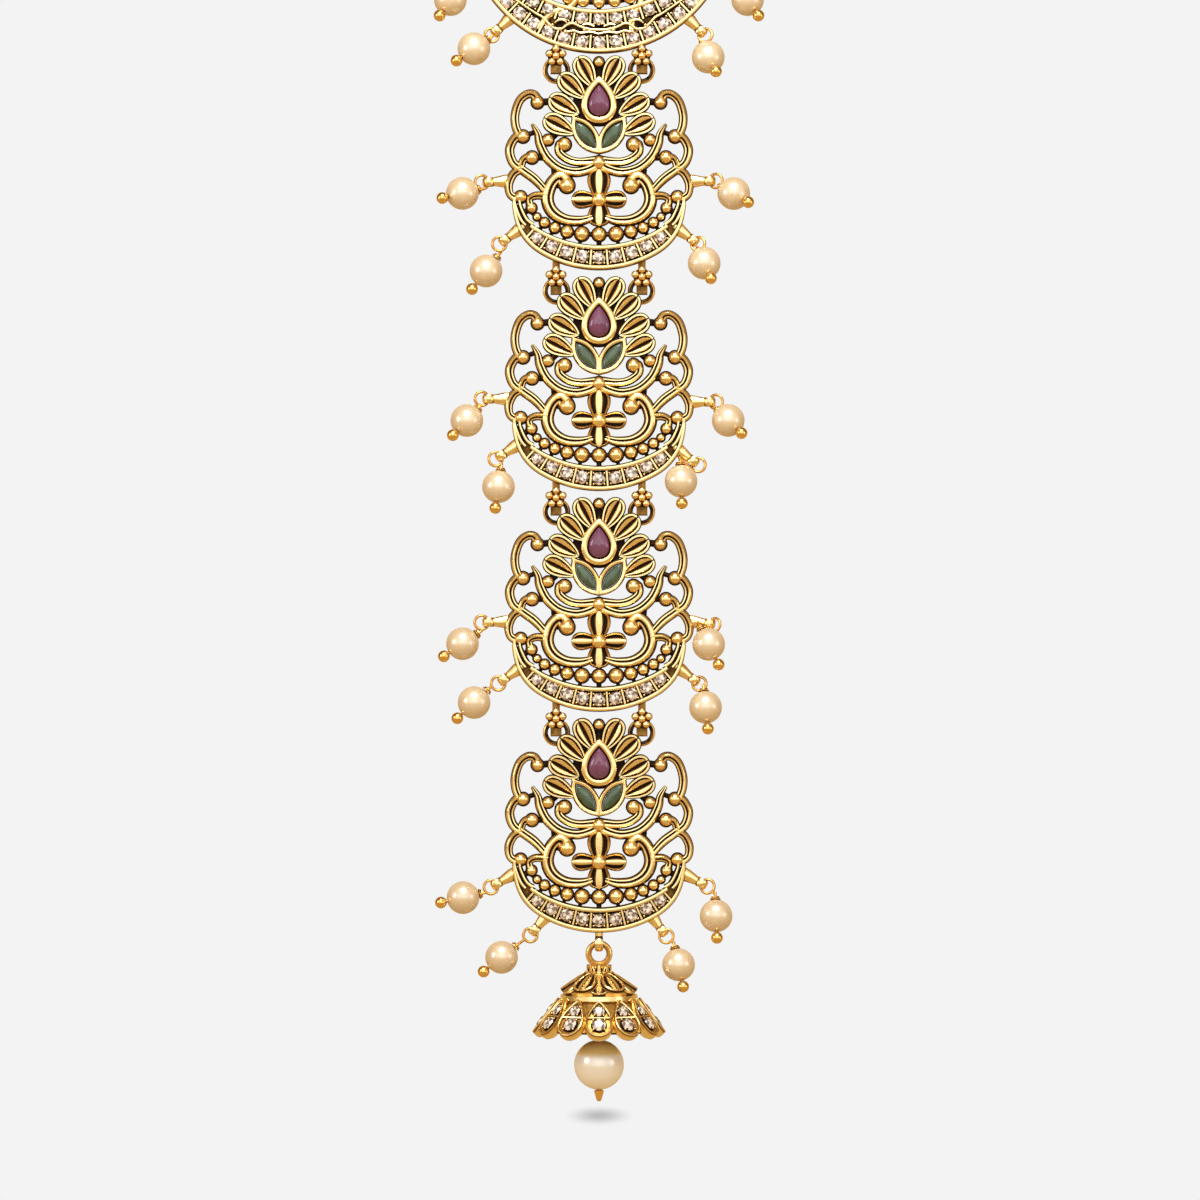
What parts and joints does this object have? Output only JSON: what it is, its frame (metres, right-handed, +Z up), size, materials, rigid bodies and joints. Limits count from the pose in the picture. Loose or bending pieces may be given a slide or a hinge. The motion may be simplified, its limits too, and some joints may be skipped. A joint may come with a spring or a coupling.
{
  "type": "braid ornament",
  "caption": "Antique gold braid ornament: round head panel, openwork panels linked by hooks and rings, pearl drops and a hanging bell with a large pearl.",
  "frame": {"origin": "middle of the hair pin's bridge, where the ornament hangs", "axes": "+Z up along the braid, -Y out of the front, +X to the viewer's right; the pin's prongs run along +Y"},
  "size_m": [0.0656, 0.0403, 0.2672],
  "materials": {
    "antique_gold": "cast, bright on the crests and dark in the recesses",
    "gold_wire": "polished wire",
    "pearl": "lustrous cream",
    "large_pearl": "lustrous deep cream",
    "clear_stone": "cut and polished, tinted by its foil",
    "ruby_stone": "polished dome",
    "emerald_stone": "polished, streaked"
  },
  "bodies": {
    "ornament": {"hair_pin": "gold_wire", "head_panel": "antique_gold", "head_outer_stones": "clear_stone", "head_inner_stones": "clear_stone", "panel_1": "antique_gold", "panel_2": "antique_gold", "panel_3": "antique_gold", "panel_4": "antique_gold", "panel_1_ruby": "ruby_stone", "panel_2_ruby": "ruby_stone", "panel_3_ruby": "ruby_stone", "panel_4_ruby": "ruby_stone", "panel_1_emerald_left": "emerald_stone", "panel_2_emerald_left": "emerald_stone", "panel_3_emerald_left": "emerald_stone", "panel_4_emerald_left": "emerald_stone", "panel_1_emerald_right": "emerald_stone", "panel_2_emerald_right": "emerald_stone", "panel_3_emerald_right": "emerald_stone", "panel_4_emerald_right": "emerald_stone", "panel_1_stones": "clear_stone", "panel_2_stones": "clear_stone", "panel_3_stones": "clear_stone", "panel_4_stones": "clear_stone", "head_pins": "gold_wire", "panel_1_pins": "gold_wire", "panel_2_pins": "gold_wire", "panel_3_pins": "gold_wire", "panel_4_pins": "gold_wire", "head_pearl_left_upper": "pearl", "head_pearl_left_lower": "pearl", "head_pearl_right_lower": "pearl", "head_pearl_right_upper": "pearl", "panel_1_pearl_left_upper": "pearl", "panel_1_pearl_left_lower": "pearl", "panel_1_pearl_right_lower": "pearl", "panel_1_pearl_right_upper": "pearl", "panel_2_pearl_left_upper": "pearl", "panel_2_pearl_left_lower": "pearl", "panel_2_pearl_right_lower": "pearl", "panel_2_pearl_right_upper": "pearl", "panel_3_pearl_left_upper": "pearl", "panel_3_pearl_left_lower": "pearl", "panel_3_pearl_right_lower": "pearl", "panel_3_pearl_right_upper": "pearl", "panel_4_pearl_left_upper": "pearl", "panel_4_pearl_left_lower": "pearl", "panel_4_pearl_right_lower": "pearl", "panel_4_pearl_right_upper": "pearl"},
    "bell_drop": {"bell": "antique_gold", "bell_stones": "clear_stone", "bell_pin": "gold_wire", "bell_pearl": "large_pearl"}
  },
  "joints": [
    {"name": "bell_swing", "type": "hinge", "parent": "ornament", "child": "bell_drop", "pos_m": [0, 0.0015, -0.23364], "axis": [1, 0, 0], "range_deg": [-60, 60]}
  ]
}
